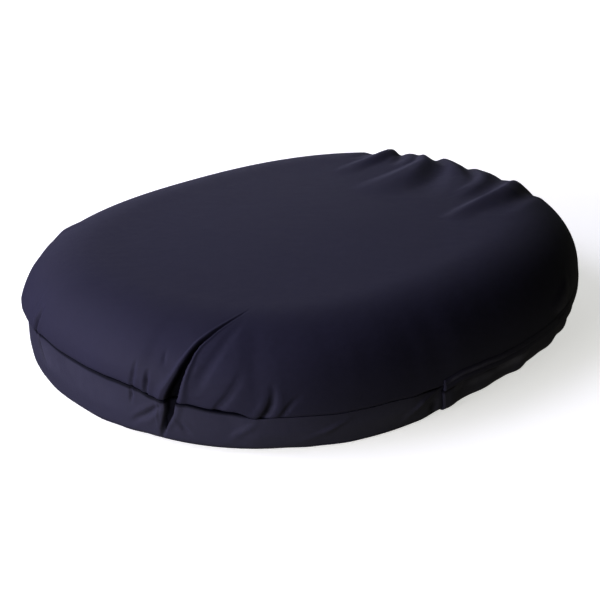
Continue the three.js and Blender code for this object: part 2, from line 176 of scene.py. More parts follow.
# Ridges where the cover is gathered on the flat of the +X end: x, y, half width and rise. Down the
# shoulder they fade out, from RIDGE_FADE_HIGH to RIDGE_FADE_LOW in v.
TOP_RIDGES = [
    fold([(120, 88.5, 9, 0), (142, 87.6, 8, -1.0), (158, 92.1, 8, -2.0), (178, 108, 8, 0)]),
    fold([(88, 64.5, 13, 0), (114, 68.5, 12, 1.2), (140, 70.5, 10, 2.7), (160, 74.6, 9, 3.6),
        (172, 80.6, 9, 3.4), (192, 95, 9, 0)],
        left=0.1, right=0.25),
    fold([(140, 51.5, 6, 0), (158, 58.7, 6, -1.4), (174, 74.5, 6, -2.2), (194, 89, 6, 0)]),
    fold([(134, 41.5, 7, 0), (158, 47.1, 7, 1.0), (178, 63.4, 7, 1.0), (198, 76, 7, 0)],
        left=-0.1, right=0.1),
    fold([(70, 13, 23, 0), (98, 15.5, 23, 1.6), (134, 19.5, 22, 3.9), (165, 28.5, 17, 4.3),
        (186, 51, 10, 2.0), (203, 64, 8, 0)],
        left=0.2, right=0.35),
    fold([(98, -22, 20, 0), (124, -6, 20, -1.3), (150, 10, 17, -2.2), (170, 26, 13, -2.4),
        (189, 48, 10, -3.0), (206, 58, 9, 0)]),
    fold([(161, -8, 9, 0), (177, 8, 9, 1.5), (194, 36, 9, 1.6), (211, 45, 9, 0)], left=0.3, right=0.45),
    fold([(146, -35.5, 9, 0), (164, -22.2, 9, -1.2), (181, -2.7, 9, -2.2), (197, 16.8, 10, -3.2),
        (215, 22, 10, 0)]),
    fold([(130, -39.5, 10, 0), (154, -33.5, 9, 1.2), (178, -22.3, 9, 1.0), (199, -6.1, 9, 0)],
        left=0.2, right=0.3),
    fold([(116, -51.5, 11, 0), (146, -48.5, 11, -1.4), (176, -38.2, 11, -2.0), (200, -20, 11, -2.2),
        (218, -19, 11, 0)]),
    fold([(78, -73.5, 12, 0), (104, -68.5, 12, 1.7), (134, -65.5, 13, 3.6), (164, -61.6, 12, 4.2),
        (184, -52.2, 11, 3.6), (201, -42, 10, 1.8), (216, -43, 10, 0)],
        left=0.3, right=0.4, sharp=0.2),
    fold([(112, -88.5, 12, 0), (136, -84.4, 12, -0.8), (174, -72, 11, -1.8), (199, -56, 10, -2.4),
        (214, -54, 9, 0)]),
]
RIDGE_FADE_LOW = 16
RIDGE_FADE_HIGH = 52

# Gathers of the closure strip: place along the rim, half width and how far each one stands out
GATHERS = [
    (980, 13, 0.8),
    (1013, 17, 1.2),
    (1055, 15, 2.4),
    (1104, 17, 1.6),
    (1136, 14, 1.6),
    (1168, 18, 1.2),
    (1201, 16, 1.6),
    (1235, 19, 1.2),
    (1274, 21, 1.6),
    (1313, 18, 1.2),
]

# How far the cover curls under the cushion at the bottom of the side: u, reach inwards, height
UNDER_CURLS = [
    (0, 7.0, 8.0),
    (60, 3.6, 5.0),
    (560, 3.0, 5.0),
    (590, 1.8, 4.0),
    (640, 0.2, 3.0),
    (690, 0.2, 3.0),
    (715, 2.6, 4.0),
    (740, 5.4, 5.5),
    (765, 5.2, 5.5),
    (840, 4.8, 5.5),
    (862, 2.6, 5.0),
    (890, 0.2, 4.0),
    (915, 0.2, 4.0),
    (946, 1.0, 4.5),
    (970, 4.0, 6.0),
    (1000, 4.6, 8.0),
    (1150, 4.2, 8.0),
    (1250, 7.0, 8.0),
]

# How deep the top seam is sewn in along the rim, and how far it lies in from the rim: u, depth, inset
SEAM_DEPTHS = [
    (0, 0.6, 3.05),
    (480, 1.0, 3.05),
    (560, 1.9, 3.05),
    (802, 1.9, 3.05),
    (824, 0.1, 0.9),
    (935, 0.1, 0.9),
    (958, 0.6, 3.05),
]

# A fold's raised edges: how far out they stand, in half widths, and how wide they are. FAR_ACROSS is
# well outside any fold.
PUFF_PLACE = 1.6
PUFF_WIDTH = 0.65
FAR_ACROSS = 9.0

# Where the mesh columns that follow the big front tuck go back to even ones: v, then u on each side
TUCK_FADE_UP = (110, 200)
TUCK_FADE_LEFT = (590, 755)
TUCK_FADE_RIGHT = (775, 960)

# The top's edge in the seam: its turn, how far it opens and the height of its roll, and what a deep
# seam adds to both
ROLL_TURN = 0.5
SEAM_OPENING = 0.25
DEEP_OPENING = 0.25
SEAM_ROLL = 0.4
DEEP_ROLL = 0.9

# Rows of the side cloth: the finer ones at its foot, and how far under the seam each piece ends
FOOT_HEIGHT = 12
FOOT_ROWS = 7
FOOT_POWER = 1.4
BAND_ROWS = 15
BAND_DROP = 1.7
BAND_INNER_DROP = 2.2
STRIP_ROWS = 10
STRIP_DROP = 2.6
BODY_ROWS = 6
BODY_DROP = 1.6

# Ends of the closure: how soon its step and its slant ease out, and its gathers at the top and foot
LAP_EASE = 16
SLANT_REACH = 12
GATHER_TOP = 0.4
GATHER_FOOT = 0.6

# Stitches
STITCH_PITCH = 3.4
STITCH_LENGTH = 2.6
THREAD_WIDTH = 0.45
LIP_STITCH_RISE = 2.8

# Camera
CAMERA_AZIMUTH = -41.81
CAMERA_ELEVATION = 24.69
CAMERA_ROLL = -0.61
CAMERA_DISTANCE = 1142.9
CAMERA_TARGET = (-28.57, -16.74, 30.0)
FOCAL_PIXELS = 1467.0
IMAGE_PIXELS = 600
SENSOR_WIDTH = 36.0


# Plan outline


def outline_at(angle):
    """Points of the rim's outline seen from above."""
    c = np.cos(angle)
    s = np.sin(angle)
    radius = (np.abs(c) ** OVAL_POWER + np.abs(s) ** OVAL_POWER) ** (-1 / OVAL_POWER)
    x = HALF_LENGTH * radius * c
    y = HALF_WIDTH * radius * s * (1 + END_TAPER * x / HALF_LENGTH)
    return x, y


OUTLINE_STEPS = 5760
OUTLINE_ANGLES = np.linspace(0, 2 * np.pi, OUTLINE_STEPS + 1)
OUTLINE = np.stack(outline_at(OUTLINE_ANGLES))
OUTLINE_LENGTHS = np.concatenate([[0], np.cumsum(np.hypot(*np.diff(OUTLINE, axis=1)))])
RIM_LENGTH = OUTLINE_LENGTHS[-1]
SMALL_TURN = 0.002

Rim = namedtuple("Rim", "u x y out_x out_y seam")


def along_rim(rows, u, column):
    """One column of a table of places along the rim, eased from each row to the next."""
    places = np.array([row[0] for row in rows] + [rows[0][0] + RIM_LENGTH])
    values = np.array([row[column] for row in rows] + [rows[0][column]])
    at = (u - places[0]) % RIM_LENGTH + places[0]
    k = np.clip(np.searchsorted(places, at, side="right") - 1, 0, len(rows) - 1)
    share = (at - places[k]) / (places[k + 1] - places[k])
    return values[k] + (values[k + 1] - values[k]) * share * share * (3 - 2 * share)


def rim_at(u):
    """Places on the rim: their points, outward directions and the height of the top seam there."""
    u = np.asarray(u, float)
    angle = np.interp(u % RIM_LENGTH, OUTLINE_LENGTHS, OUTLINE_ANGLES)
    x, y = outline_at(angle)
    x0, y0 = outline_at(angle - SMALL_TURN)
    x1, y1 = outline_at(angle + SMALL_TURN)
    length = np.hypot(x1 - x0, y1 - y0)
    seam = (
        SEAM_HEIGHT
        + SEAM_END_DROP * np.cos(angle)
        + SEAM_SIDE_RISE * np.sin(angle)
        + SEAM_END_LIFT * np.cos(2 * angle)
        + SEAM_DIAGONAL_LIFT * np.sin(2 * angle)
        + along_rim(SEAM_PULLS, u, 1)
    )
    return Rim(u, x, y, (y1 - y0) / length, -(x1 - x0) / length, seam)


# The model stands where the CAD body stands
BODY_LOW, BODY_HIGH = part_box("cushion_body")
SHIFT = Vector(((BODY_LOW.x + BODY_HIGH.x) / 2, (BODY_LOW.y + BODY_HIGH.y) / 2, 0))


# Folds


def smooth(low, high, value):
    """Eases from 0 at low to 1 at high."""
    t = np.clip((value - low) / (high - low), 0, 1)
    return t * t * (3 - 2 * t)


def fold_rise(fold, a, b):
    """Rise of one fold at the places (a, b), from the nearest point of its line of stations."""
    best = np.full(np.shape(a), np.inf)
    across = np.full(np.shape(a), FAR_ACROSS)
    rise = np.zeros(np.shape(a))
    for start, end in zip(fold.stations, fold.stations[1:]):
        run_a = end[0] - start[0]
        run_b = end[1] - start[1]
        length = math.hypot(run_a, run_b)
        share = np.clip(((a - start[0]) * run_a + (b - start[1]) * run_b) / length**2, 0, 1)
        off_a = a - start[0] - share * run_a
        off_b = b - start[1] - share * run_b
        distance = np.hypot(off_a, off_b)
        side = np.sign(run_a * off_b - run_b * off_a)
        reach = start[2] + share * (end[2] - start[2])
        nearer = distance < best
        best = np.where(nearer, distance, best)
        across = np.where(nearer, side * distance / reach, across)
        rise = np.where(nearer, start[3] + share * (end[3] - start[3]), rise)
    down = np.clip((across + 1) / (fold.left + 1), 0, 1)
    up = np.clip((1 - across) / (1 - fold.right), 0, 1)
    wall = np.minimum(down, up)
    trough = wall * wall * (3 - 2 * wall)
    crease = 1 - np.cos(wall * np.pi / 2)
    middle = fold.sharp * crease + (1 - fold.sharp) * trough
    middle = middle * (1 - fold.slope * np.clip((fold.right - across) / (1 + fold.right), 0, 1))
    edge = np.exp(-(((np.abs(across) - PUFF_PLACE) / PUFF_WIDTH) ** 2))
    return rise * (middle - fold.puff * edge)


def lift_of(folds, a, b):
    """The rises of several folds together."""
    total = np.zeros(np.broadcast(a, b).shape)
    a, b = np.broadcast_arrays(a, b)
    for one in folds:
        total += fold_rise(one, a, b)
    return total


def gather_rise(u):
    """How far the closure strip's gathers stand out."""
    total = np.zeros(np.shape(u))
    for place, reach, rise in GATHERS:
        across = np.clip(np.abs(u - place) / reach, 0, 1)
        total += rise * np.cos(across * np.pi / 2) ** 2
    return total


# Cover surfaces


def cover_points(rim, inset, z, out, up, lift):
    """Points in from the rim at a height, lifted outwards and upwards."""
    reach = lift * out - inset
    x = rim.x + rim.out_x * reach
    y = rim.y + rim.out_y * reach
    return np.stack(np.broadcast_arrays(x, y, z + up * lift), axis=-1)


def side_inset(rim, z):
    """How far the side stands in from the widest rim at a height, with its curl under the cushion."""
    seam_inset = along_rim(SEAM_DEPTHS, rim.u, 2)
    flare = BASE_INSET + (seam_inset - BASE_INSET) * smooth(0, BAND_FLARE_HEIGHT, z)
    reach = along_rim(UNDER_CURLS, rim.u, 1)
    height = along_rim(UNDER_CURLS, rim.u, 2)
    low = np.clip(1 - (z - CLOTH - GAP) / height, 0, 1)
    return flare + reach * (1 - np.sqrt(1 - low * low))


def band_points(rim, z, lift):
    """Points of the side band at a height, with its folds."""
    pressed = lift_of(BAND_FOLDS, rim.u, np.asarray(z - rim.seam))
    return cover_points(rim, side_inset(rim, z), z, 1, 0, lift + pressed)


def top_section(rim, share):
    """One row of the top panel over the rim: inset, height and the outward and upward lift."""
    seam = rim.seam
    opening, roll = seam_roll(rim.u)
    if share <= BELLY_END:
        turn = np.pi / 2 * share / BELLY_END
        rolled = min(turn / ROLL_TURN, 1)
        depth = along_rim(SEAM_DEPTHS, rim.u, 1) + opening
        inset = along_rim(SEAM_DEPTHS, rim.u, 2) * (1 - np.sin(turn)) + depth * (1 - rolled) ** 2
        z = seam + BELLY_HEIGHT * (1 - np.cos(turn)) + roll * np.sin(rolled * np.pi / 2)
        return inset, z, 1.0, 0.0
    turn = np.pi / 2 * (share - BELLY_END) / (SHOULDER_END - BELLY_END)
    inset = SHOULDER_REACH * (1 - np.cos(turn) ** (2 / SHOULDER_REACH_POWER))
    start = seam + BELLY_HEIGHT + roll
    z = start + (TOP_HEIGHT - start) * np.sin(turn) ** (2 / SHOULDER_RISE_POWER)
    return inset, z, np.cos(turn), np.sin(turn)


def seam_roll(u):
    """How far the top's edge turns in behind the seam, and the height of its small roll."""
    open_seam = smooth(0.1, 0.6, along_rim(SEAM_DEPTHS, u, 1))
    return SEAM_OPENING + DEEP_OPENING * open_seam, SEAM_ROLL + DEEP_ROLL * open_seam


def top_rows(places, shares, follow_tuck):
    """Unfolded rows of the top panel: points, lift directions, u and v of each point.

    The first pass lays even columns to measure v, and the second lets them follow the tuck.
    """
    rim = rim_at(places)
    points = np.zeros((len(shares), len(places), 3))
    direction = np.zeros_like(points)
    u = np.zeros(points.shape[:2])
    v = np.zeros_like(u)
    for step in (0, 1):
        for row, share in enumerate(shares):
            if step:
                shift = tuck_shift(v[row].mean(), places) if follow_tuck else 0
                rim = rim_at(places + shift)
            u[row] = rim.u
            if share <= SHOULDER_END:
                inset, z, out, up = top_section(rim, share)
                points[row] = cover_points(rim, inset, z, 0, 0, 0)
            else:
                reach = 1 - (share - SHOULDER_END) / (1 - SHOULDER_END)
                edge = cover_points(rim, SHOULDER_REACH, TOP_HEIGHT, 0, 0, 0)
                points[row] = edge * [reach, reach, 1] + [0, 0, CROWN_RISE * (1 - reach**2) ** 2]
                out, up = 0.0, 1.0
            lift_up = np.full(len(places), up)
            direction[row] = np.stack([rim.out_x * out, rim.out_y * out, lift_up], axis=-1)
        if step == 0:
            steps = np.linalg.norm(np.diff(points, axis=0), axis=2)
            v = np.concatenate([np.zeros((1, len(places))), np.cumsum(steps, axis=0)])
    for row in range(len(shares)):
        v[row] = np.interp(u[row] % RIM_LENGTH, places, v[row], period=RIM_LENGTH)
    return points, direction, u, v


def tuck_shift(v, places):
    """Sideways shift of the mesh columns, so that they run along the big front tuck."""
    line = sorted((station[1], station[0]) for station in FRONT_TUCK)
    shift = np.interp(v, [row[0] for row in line], [row[1] for row in line]) - line[0][1]
    shift *= 1 - smooth(*TUCK_FADE_UP, v)
    near = smooth(*TUCK_FADE_LEFT, places) * (1 - smooth(*TUCK_FADE_RIGHT, places))
    return shift * near


def top_points(places, shares, follow_tuck=True):
    """The top panel with its folds."""
    points, direction, u, v = top_rows(places, shares, follow_tuck)
    ridges = lift_of(TOP_RIDGES, points[..., 0], points[..., 1])
    lift = lift_of(TOP_FOLDS, u, v) + ridges * smooth(RIDGE_FADE_LOW, RIDGE_FADE_HIGH, v)
    return points + direction * lift[..., None], u, v


# Meshes


def in_place(points):
    """Points in metres, where the CAD body stands."""
    return np.asarray(points) * MM + np.array(SHIFT)


def linked(name, data):
    """An object for a mesh, a camera or a light, in the scene."""
    thing = bpy.data.objects.new(name, data)
    bpy.context.scene.collection.objects.link(thing)
    return thing


def mesh_object(name, points, faces, uv, shade):
    """A piece from points in millimetres, with their places on the flat cloth and their painted shade
    and light.
    """
    mesh = bpy.data.meshes.new(name)
    mesh.from_pydata(in_place(points).tolist(), [], faces)
    layer = mesh.uv_layers.new(name="cloth")
    loops = np.zeros(len(mesh.loops), dtype=np.int32)
    mesh.loops.foreach_get("vertex_index", loops)
    layer.data.foreach_set("uv", (np.asarray(uv)[loops] * MM).ravel())
    # This attribute holds painted shade in seams, creases and the tuck above zero, and painted
    # highlights below zero.
    attribute = mesh.attributes.new(name="painted_shade_light", type="FLOAT", domain="POINT")
    attribute.data.foreach_set("value", np.asarray(shade, dtype=np.float32).ravel())
    mesh.polygons.foreach_set("use_smooth", [True] * len(mesh.polygons))
    return linked(name, mesh)


def columns(regions, start, end):
    """Places along the rim from start to end, with the pitch that each region (u, pitch) asks for."""
    stops = sorted({start, end, *[u for u, _ in regions if start < u < end]})
    places = []
    for low, high in zip(stops, stops[1:]):
        pitch = [p for u, p in regions if u <= low][-1]
        parts = max(1, round((high - low) / pitch))
        places.extend(low + (high - low) * k / parts for k in range(parts))
    return np.array(places)


RIM_PITCHES = [
    (0, 2.6), (40, 3.0), (545, 2.2), (600, 1.2), (632, 2.6), (722, 1.0), (751, 0.5), (769, 1.0),
    (850, 2.4), (922, 1.6), (JOINT_FRONT, 1.8), (1180, 2.4),
]


def stitch_rings(rings, data):
    """Points, faces and data of rings of equal length, with both ends closed by fans."""
    count = rings.shape[1]
    last = (rings.shape[0] - 1) * count
    ring = np.arange(count)
    following = (ring + 1) % count
    faces = []
    for low in range(0, last, count):
        high = low + count
        quads = [low + ring, low + following, high + following, high + ring]
        faces.extend(np.stack(quads, axis=1).tolist())
    points = rings.reshape(-1, 3)
    values = data.reshape(len(points), -1)
    middle = len(points)
    points = np.vstack([points, rings[0].mean(axis=0), rings[-1].mean(axis=0)])
    values = np.vstack([values, data[0].mean(axis=0), data[-1].mean(axis=0)])
    for fan in (
        [following, ring, np.full(count, middle)],
        [last + ring, last + following, np.full(count, middle + 1)],
    ):
        faces.extend(np.stack(fan, axis=1).tolist())
    return points, faces, values


BELLY_ROWS = np.linspace(0, BELLY_END, 12)
SHOULDER_ROWS = np.linspace(BELLY_END, SHOULDER_END, 56)[1:]
CROWN_ROWS = SHOULDER_END + (1 - SHOULDER_END) * np.linspace(0, 1, 44)[1:-1]
TOP_SHARES = np.concatenate([BELLY_ROWS, SHOULDER_ROWS, CROWN_ROWS])


def spline_weights(share):
    """Weights of the four points around a place on an even line, for a smooth curve through it."""
    rest = 1 - share
    middle = (3 * share**3 - 6 * share**2 + 4) / 6
    after = (3 * rest**3 - 6 * rest**2 + 4) / 6
    return rest**3 / 6, middle, after, share**3 / 6


# Settling of the top's cloth: its coarse copy, how far a point may move, where the moves ease in and
# fade out, and how firmly the filling holds the cloth
SETTLE_PITCH = 8.0
SETTLE_ROWS = 34
SETTLE_END = 0.93
SETTLE_FRAMES = 20
SETTLE_REACH = 0.8
SETTLE_EASE = (0.09, 0.2)
SETTLE_FADE = 0.1
FOAM_HOLD = 0.6
SETTLE_CLOTH = {
    "quality": 6,
    "mass": 0.2,
    "tension_stiffness": 12,
    "compression_stiffness": 12,
    "shear_stiffness": 4,
    "bending_stiffness": 0.4,
    "vertex_group_mass": "held",
    "pin_stiffness": 1,
    "use_pressure": True,
    "uniform_pressure_force": 4,
    "shrink_min": -0.004,
}


def settle_moves():
    """How far each point of a coarse top panel moves when its cloth settles on the filling."""
    count = round(RIM_LENGTH / SETTLE_PITCH)
    places = np.arange(count) * RIM_LENGTH / count
    shares = np.linspace(0, SETTLE_END, SETTLE_ROWS)
    start, _, _ = top_points(places, shares, follow_tuck=False)
    points, faces, data = stitch_rings(start, start)
    cloth = mesh_object("settling_cloth", points, faces, data[:, :2], data[:, 2])
    held = cloth.vertex_groups.new(name="held")
    held.add(list(range(len(points))), FOAM_HOLD, "REPLACE")
    held.add(list(range(count)), 1.0, "REPLACE")
    modifier = cloth.modifiers.new("settling", "CLOTH")
    modifier.point_cache.frame_start = 1
    modifier.point_cache.frame_end = SETTLE_FRAMES
    for setting, value in SETTLE_CLOTH.items():
        setattr(modifier.settings, setting, value)
    modifier.settings.effector_weights.gravity = 0
    for moment in range(1, SETTLE_FRAMES + 1):
        bpy.context.scene.frame_set(moment)
    ready = cloth.evaluated_get(bpy.context.evaluated_depsgraph_get())
    after = np.zeros(3 * len(points))
    ready.data.vertices.foreach_get("co", after)
    bpy.context.scene.frame_set(1)
    bpy.data.objects.remove(cloth)
    moved = (after.reshape(-1, 3) - np.array(SHIFT)) / MM - points
    return moved[: start.shape[0] * count].reshape(start.shape)


def settled(u, shares):
    """Moves of the fine rows of the top panel, eased in from the sewn edge and capped."""
    moves = settle_moves()
    rows, count, _ = moves.shape
    length = np.linalg.norm(moves, axis=2, keepdims=True)
    moves = moves * np.minimum(1, SETTLE_REACH / np.maximum(length, 1e-6))
    along = (u % RIM_LENGTH) / RIM_LENGTH * count
    across = np.clip(shares / SETTLE_END * (rows - 1), 0, rows - 1)
    column = np.floor(along).astype(int)
    row = np.minimum(np.floor(across).astype(int), rows - 2)
    total = np.zeros((*u.shape, 3))
    for i, high in enumerate(spline_weights(across - row)):
        for j, wide in enumerate(spline_weights(along - column)):
            near = moves[np.clip(row + i - 1, 0, rows - 1)[:, None], (column + j - 1) % count]
            total += (high[:, None] * wide)[..., None] * near
    ease = smooth(*SETTLE_EASE, shares) * (1 - smooth(SETTLE_END - SETTLE_FADE, SETTLE_END, shares))
    return total * ease[:, None, None]


def painted_seam_shade(u):
    """How dark the painted shade along the sewn line is: strong where the seam is deep."""
    return smooth(0.6, 1.7, along_rim(SEAM_DEPTHS, u, 1))


def tuck_shade(rise):
    """Painted shade at the bottom of the big tuck, where its sides close over it."""
    return smooth(0.6, 3.2, -rise)


# Painted highlights on the cloth and, below zero, painted shade: u, v, half width, half height and
# strength
PAINTED_LIGHT_PATCHES = [
    (925, -10, 48, 12, 0.15),
    (895, 18, 80, 34, -0.22),
    (631, -14, 20, 12, 0.26),
    (668, -13, 62, 17, 0.13),
    (981, -6, 8, 5, 0.7),
    (1006, -9, 20, 4, 0.6),
    (1045, -7, 26, 5, 0.9),
    (1115, 13, 14, 9, 0.5),
]


def painted_light_patches(u, v):
    """Painted highlights and painted shade, as a part of the shade: lighter is below zero."""
    total = np.zeros(np.broadcast(u, v).shape)
    for place, height, wide, high, strength in PAINTED_LIGHT_PATCHES:
        near = np.clip(1 - ((u - place) / wide) ** 2 - ((v - height) / high) ** 2, 0, 1)
        total += strength * near * near * (3 - 2 * near)
    return -total


def flat_places(u, v, to_edge):
    """Where points of the top panel lie on its flat cloth, from the edge of the flat outwards."""
    rim = rim_at(u)
    edge = to_edge(u)
    reach = np.where(v < edge, edge - v, 0)
    x = rim.x + rim.out_x * (reach - SHOULDER_REACH)
    y = rim.y + rim.out_y * (reach - SHOULDER_REACH)
    return x, y


def top_cushion():
    """The crowned top with its shoulders and folds, closed behind the side band and over the base."""
    places = columns(RIM_PITCHES, 0, RIM_LENGTH)
    rim = rim_at(places)
    points, u, v = top_points(places, TOP_SHARES)
    points += settled(u, TOP_SHARES)
    pressed = lift_of(TOP_FOLDS, rim.u, np.zeros_like(rim.u))
    depth = along_rim(SEAM_DEPTHS, rim.u, 1)
    low = CLOTH + GAP
    rows = []
    for z in np.linspace(low * np.ones_like(rim.u), rim.seam - BODY_DROP, BODY_ROWS):
        rows.append(cover_points(rim, side_inset(rim, z), z, 1, 0, np.minimum(pressed, 0) - low))
    behind = along_rim(SEAM_DEPTHS, rim.u, 2) + depth + seam_roll(rim.u)[0] + 0.35
    rows.append(cover_points(rim, behind, rim.seam - 0.25, 1, 0, pressed))
    edge = v[TOP_SHARES.searchsorted(SHOULDER_END)]
    x, y = flat_places(u, v, lambda at: np.interp(at % RIM_LENGTH, places, edge, period=RIM_LENGTH))
    on_flat = TOP_SHARES > SHOULDER_END
    x[on_flat] = points[on_flat, :, 0]
    y[on_flat] = points[on_flat, :, 1]
    height = points[..., 2] - rim_at(u).seam
    # Painted shade along the sewn line, in the creases and at the bottom of the tuck, with the painted
    # highlight and shade patches.
    shade = painted_seam_shade(u) * (1 - smooth(1.3, 2.6, height)) * (v < 12)
    crease_shade = 0.6 * smooth(1.4, 3.0, -lift_of(TOP_FOLDS[2:], u, v)) * (v < 40)
    deep_shade = np.maximum(crease_shade, tuck_shade(lift_of(TOP_FOLDS[:1], u, v)))
    shade = np.maximum(shade, deep_shade) + painted_light_patches(u, v)
    hidden = np.stack([x[0], y[0], painted_seam_shade(places)], axis=1)
    behind_data = np.repeat(hidden[None], len(rows), axis=0)
    data = np.concatenate([behind_data, np.stack([x, y, shade], axis=2)])
    points, faces, data = stitch_rings(np.concatenate([np.stack(rows), points]), data)
    return mesh_object("top_cushion", points, faces, data[:, :2], data[:, 2])


def strip(name, rim, outer, inner, heights, shade_at):
    """A closed strip from lines of outer and inner points and their heights, bottom line first."""
    outer, inner, heights = (np.stack(lines, axis=1) for lines in (outer, inner, heights))
    across = outer.shape[1]
    section = np.concatenate([outer, inner[:, ::-1]], axis=1)
    count = section.shape[1]
    faces = []
    for c in range(len(section) - 1):
        here = c * count
        there = here + count
        for i in range(count):
            k = (i + 1) % count
            faces.append([here + i, there + i, there + k, here + k])
    last = (len(section) - 1) * count
    for i in range(across - 1):
        faces.append([i, i + 1, count - 2 - i, count - 1 - i])
        faces.append([last + count - 1 - i, last + count - 2 - i, last + i + 1, last + i])
    z = np.concatenate([heights, heights[:, ::-1]], axis=1)
    along = np.repeat(rim.u[:, None], count, axis=1)
    shade = shade_at(along, z - rim.seam[:, None])
    flat = np.stack([along, z], axis=2).reshape(-1, 2)
    return mesh_object(name, section.reshape(-1, 3), faces, flat, shade)


# Rolled top edge of the band: rise, and the share of the seam's depth it has turned in
BAND_ROLL = [(0.6, 0.08), (1.05, 0.3), (1.35, 0.65), (1.5, 1.0)]


def side_rows(rim, top_drop, rows):
    """Heights of the side cloth's rows from its bottom to under its rolled top edge."""
    bottom = CLOTH + GAP
    low = bottom + FOOT_HEIGHT * np.linspace(0, 1, FOOT_ROWS)[:-1, None] ** FOOT_POWER
    high = np.linspace(0, 1, rows)[:, None]
    high = bottom + FOOT_HEIGHT + high * (rim.seam - top_drop - bottom - FOOT_HEIGHT)
    return np.concatenate([low + 0 * rim.seam, high])


def band_shade(u, rise):
    """Painted shade of the seam along the band's top edge, of its crease bottoms and of the tuck's
    bottom, with the painted highlight and shade patches; rise is over the seam.
    """
    thin = smooth(745, 770, u)
    seam = painted_seam_shade(u) * (1 - smooth(1.8 - 0.4 * thin, 3.0 - 0.8 * thin, -rise))
    crease_shade = 0.6 * smooth(1.0, 2.8, -lift_of(BAND_FOLDS[1:], u, rise))
    deep_shade = np.maximum(crease_shade, 0.85 * tuck_shade(lift_of(BAND_FOLDS[:1], u, rise)))
    return np.maximum(seam, deep_shade) + painted_light_patches(u, rise)


def side_band():
    """The band of side cloth from the closure round the back, the left end and the front."""
    places = np.append(columns(RIM_PITCHES, JOINT_BACK - LAP, JOINT_FRONT + LAP), JOINT_FRONT + LAP)
    rim = rim_at(places)
    heights = list(side_rows(rim, BAND_DROP, BAND_ROWS))
    outer = [band_points(rim, z, 0) for z in heights]
    inner = [band_points(rim, z, -CLOTH) for z in side_rows(rim, BAND_INNER_DROP, BAND_ROWS)]
    depth = along_rim(SEAM_DEPTHS, rim.u, 1)
    lower = 0.25 * (1 - smooth(0.6, 1.6, depth))
    for rise, share in BAND_ROLL:
        heights.append(rim.seam - BAND_DROP - lower + rise)
        outer.append(band_points(rim, heights[-1], -share * depth))
        inner.append(band_points(rim, rim.seam - BAND_INNER_DROP - lower + 0.9 * rise, -CLOTH - 0.1))
    return strip("side_band_cloth", rim, outer, inner, heights, band_shade)


def closure_places():
    """The closure's places along the rim, on past the end of the first turn."""
    front = columns(RIM_PITCHES, JOINT_FRONT, RIM_LENGTH)
    back = RIM_LENGTH + columns(RIM_PITCHES, 0, JOINT_BACK)
    return np.append(np.concatenate([front, back]), RIM_LENGTH + JOINT_BACK)


def lap_step(places):
    """How far the closure strip stands out: over the band's ends, and lower between them."""
    front = smooth(JOINT_FRONT + LAP, JOINT_FRONT + LAP + LAP_EASE, places)
    back = smooth(RIM_LENGTH + JOINT_BACK - LAP, RIM_LENGTH + JOINT_BACK - LAP - LAP_EASE, places)
    return GAP - (CLOTH + GAP) * np.minimum(front, back)


def strip_shade(u, rise):
    """Painted shadow of a slit under the closure lip near the joint, and painted highlights on the
    gathers below it.
    """
    near = 1 - smooth(1045, 1110, u)
    slit_shadow = 0.9 * near * (1 - smooth(4.0, 5.6, -rise))
    return slit_shadow + painted_light_patches(u, rise)


def closure_strip():
    """The gathered strip of the closure, over the band's ends."""
    places = closure_places()
    rim = rim_at(places)
    outer = []
    inner = []
    heights = side_rows(rim, STRIP_DROP, STRIP_ROWS)
    push = gather_rise(places)
    pressed = lift_of(TOP_FOLDS, places, np.full_like(places, 2.0))
    for z in heights:
        share = (z - CLOTH - GAP) / (rim.seam - CLOTH - GAP)
        slant = JOINT_SLANT * (1 - share) * (1 - smooth(0, SLANT_REACH, places - JOINT_FRONT))
        moved = rim_at(places + slant)
        gather = push * (GATHER_TOP + GATHER_FOOT * (1 - share))
        swell = lap_step(places) + gather + pressed * share
        inset = side_inset(moved, z)
        outer.append(cover_points(moved, inset, z, 1, 0, swell + CLOTH))
        inner.append(cover_points(moved, inset, z, 1, 0, swell))
    return strip("closure_strip_cloth", rim, outer, inner, heights, strip_shade)


# Section of the closure lip, bottom to top: how far it stands out from the widest rim, and rise over
# the seam. Its top edge is a small roll, with a sewn groove under it.
LIP_OUTER = [
    (0.9, -1.6), (1.5, -1.5), (1.8, -1.0), (1.8, -0.1), (1.7, 0.9), (1.55, 1.8), (1.3, 2.4),
    (1.15, 2.7), (1.25, 3.0), (1.4, 3.3), (1.35, 3.8), (1.1, 4.7), (0.7, 5.7), (0.32, 6.5),
    (0.24, 6.7),
]
LIP_INNER = [
    (-0.7, -1.1), (-0.4, -0.9), (0.0, -0.5), (0.1, 0.0), (0.1, 0.6), (0.1, 1.1), (0.1, 1.6),
    (0.1, 2.1), (0.1, 2.6), (0.1, 3.1), (0.1, 3.6), (0.1, 4.5), (0.1, 5.4), (0.08, 6.2),
    (0.06, 6.55),
]
# Beside the lip, v is this much more than the height over the seam. Between its ends, the lip's outer
# side draws in towards LIP_LINE.
SEAM_TO_RIM = 2.2
LIP_LINE = 0.15


def lip_painted_highlight(u, rise):
    """A painted highlight on the lip's rolled top edge near the joint."""
    near = smooth(966, 972, u) * (1 - smooth(1010, 1055, u))
    return -0.9 * near * smooth(2.9, 3.5, rise) * (1 - smooth(4.6, 5.6, rise))


def lip_standing(u):
    """How far the lip stands out of the cover: fully at its ends, less between them."""
    return 1 - 0.7 * smooth(1000, 1090, u) * (1 - smooth(RIM_LENGTH - 60, RIM_LENGTH, u))


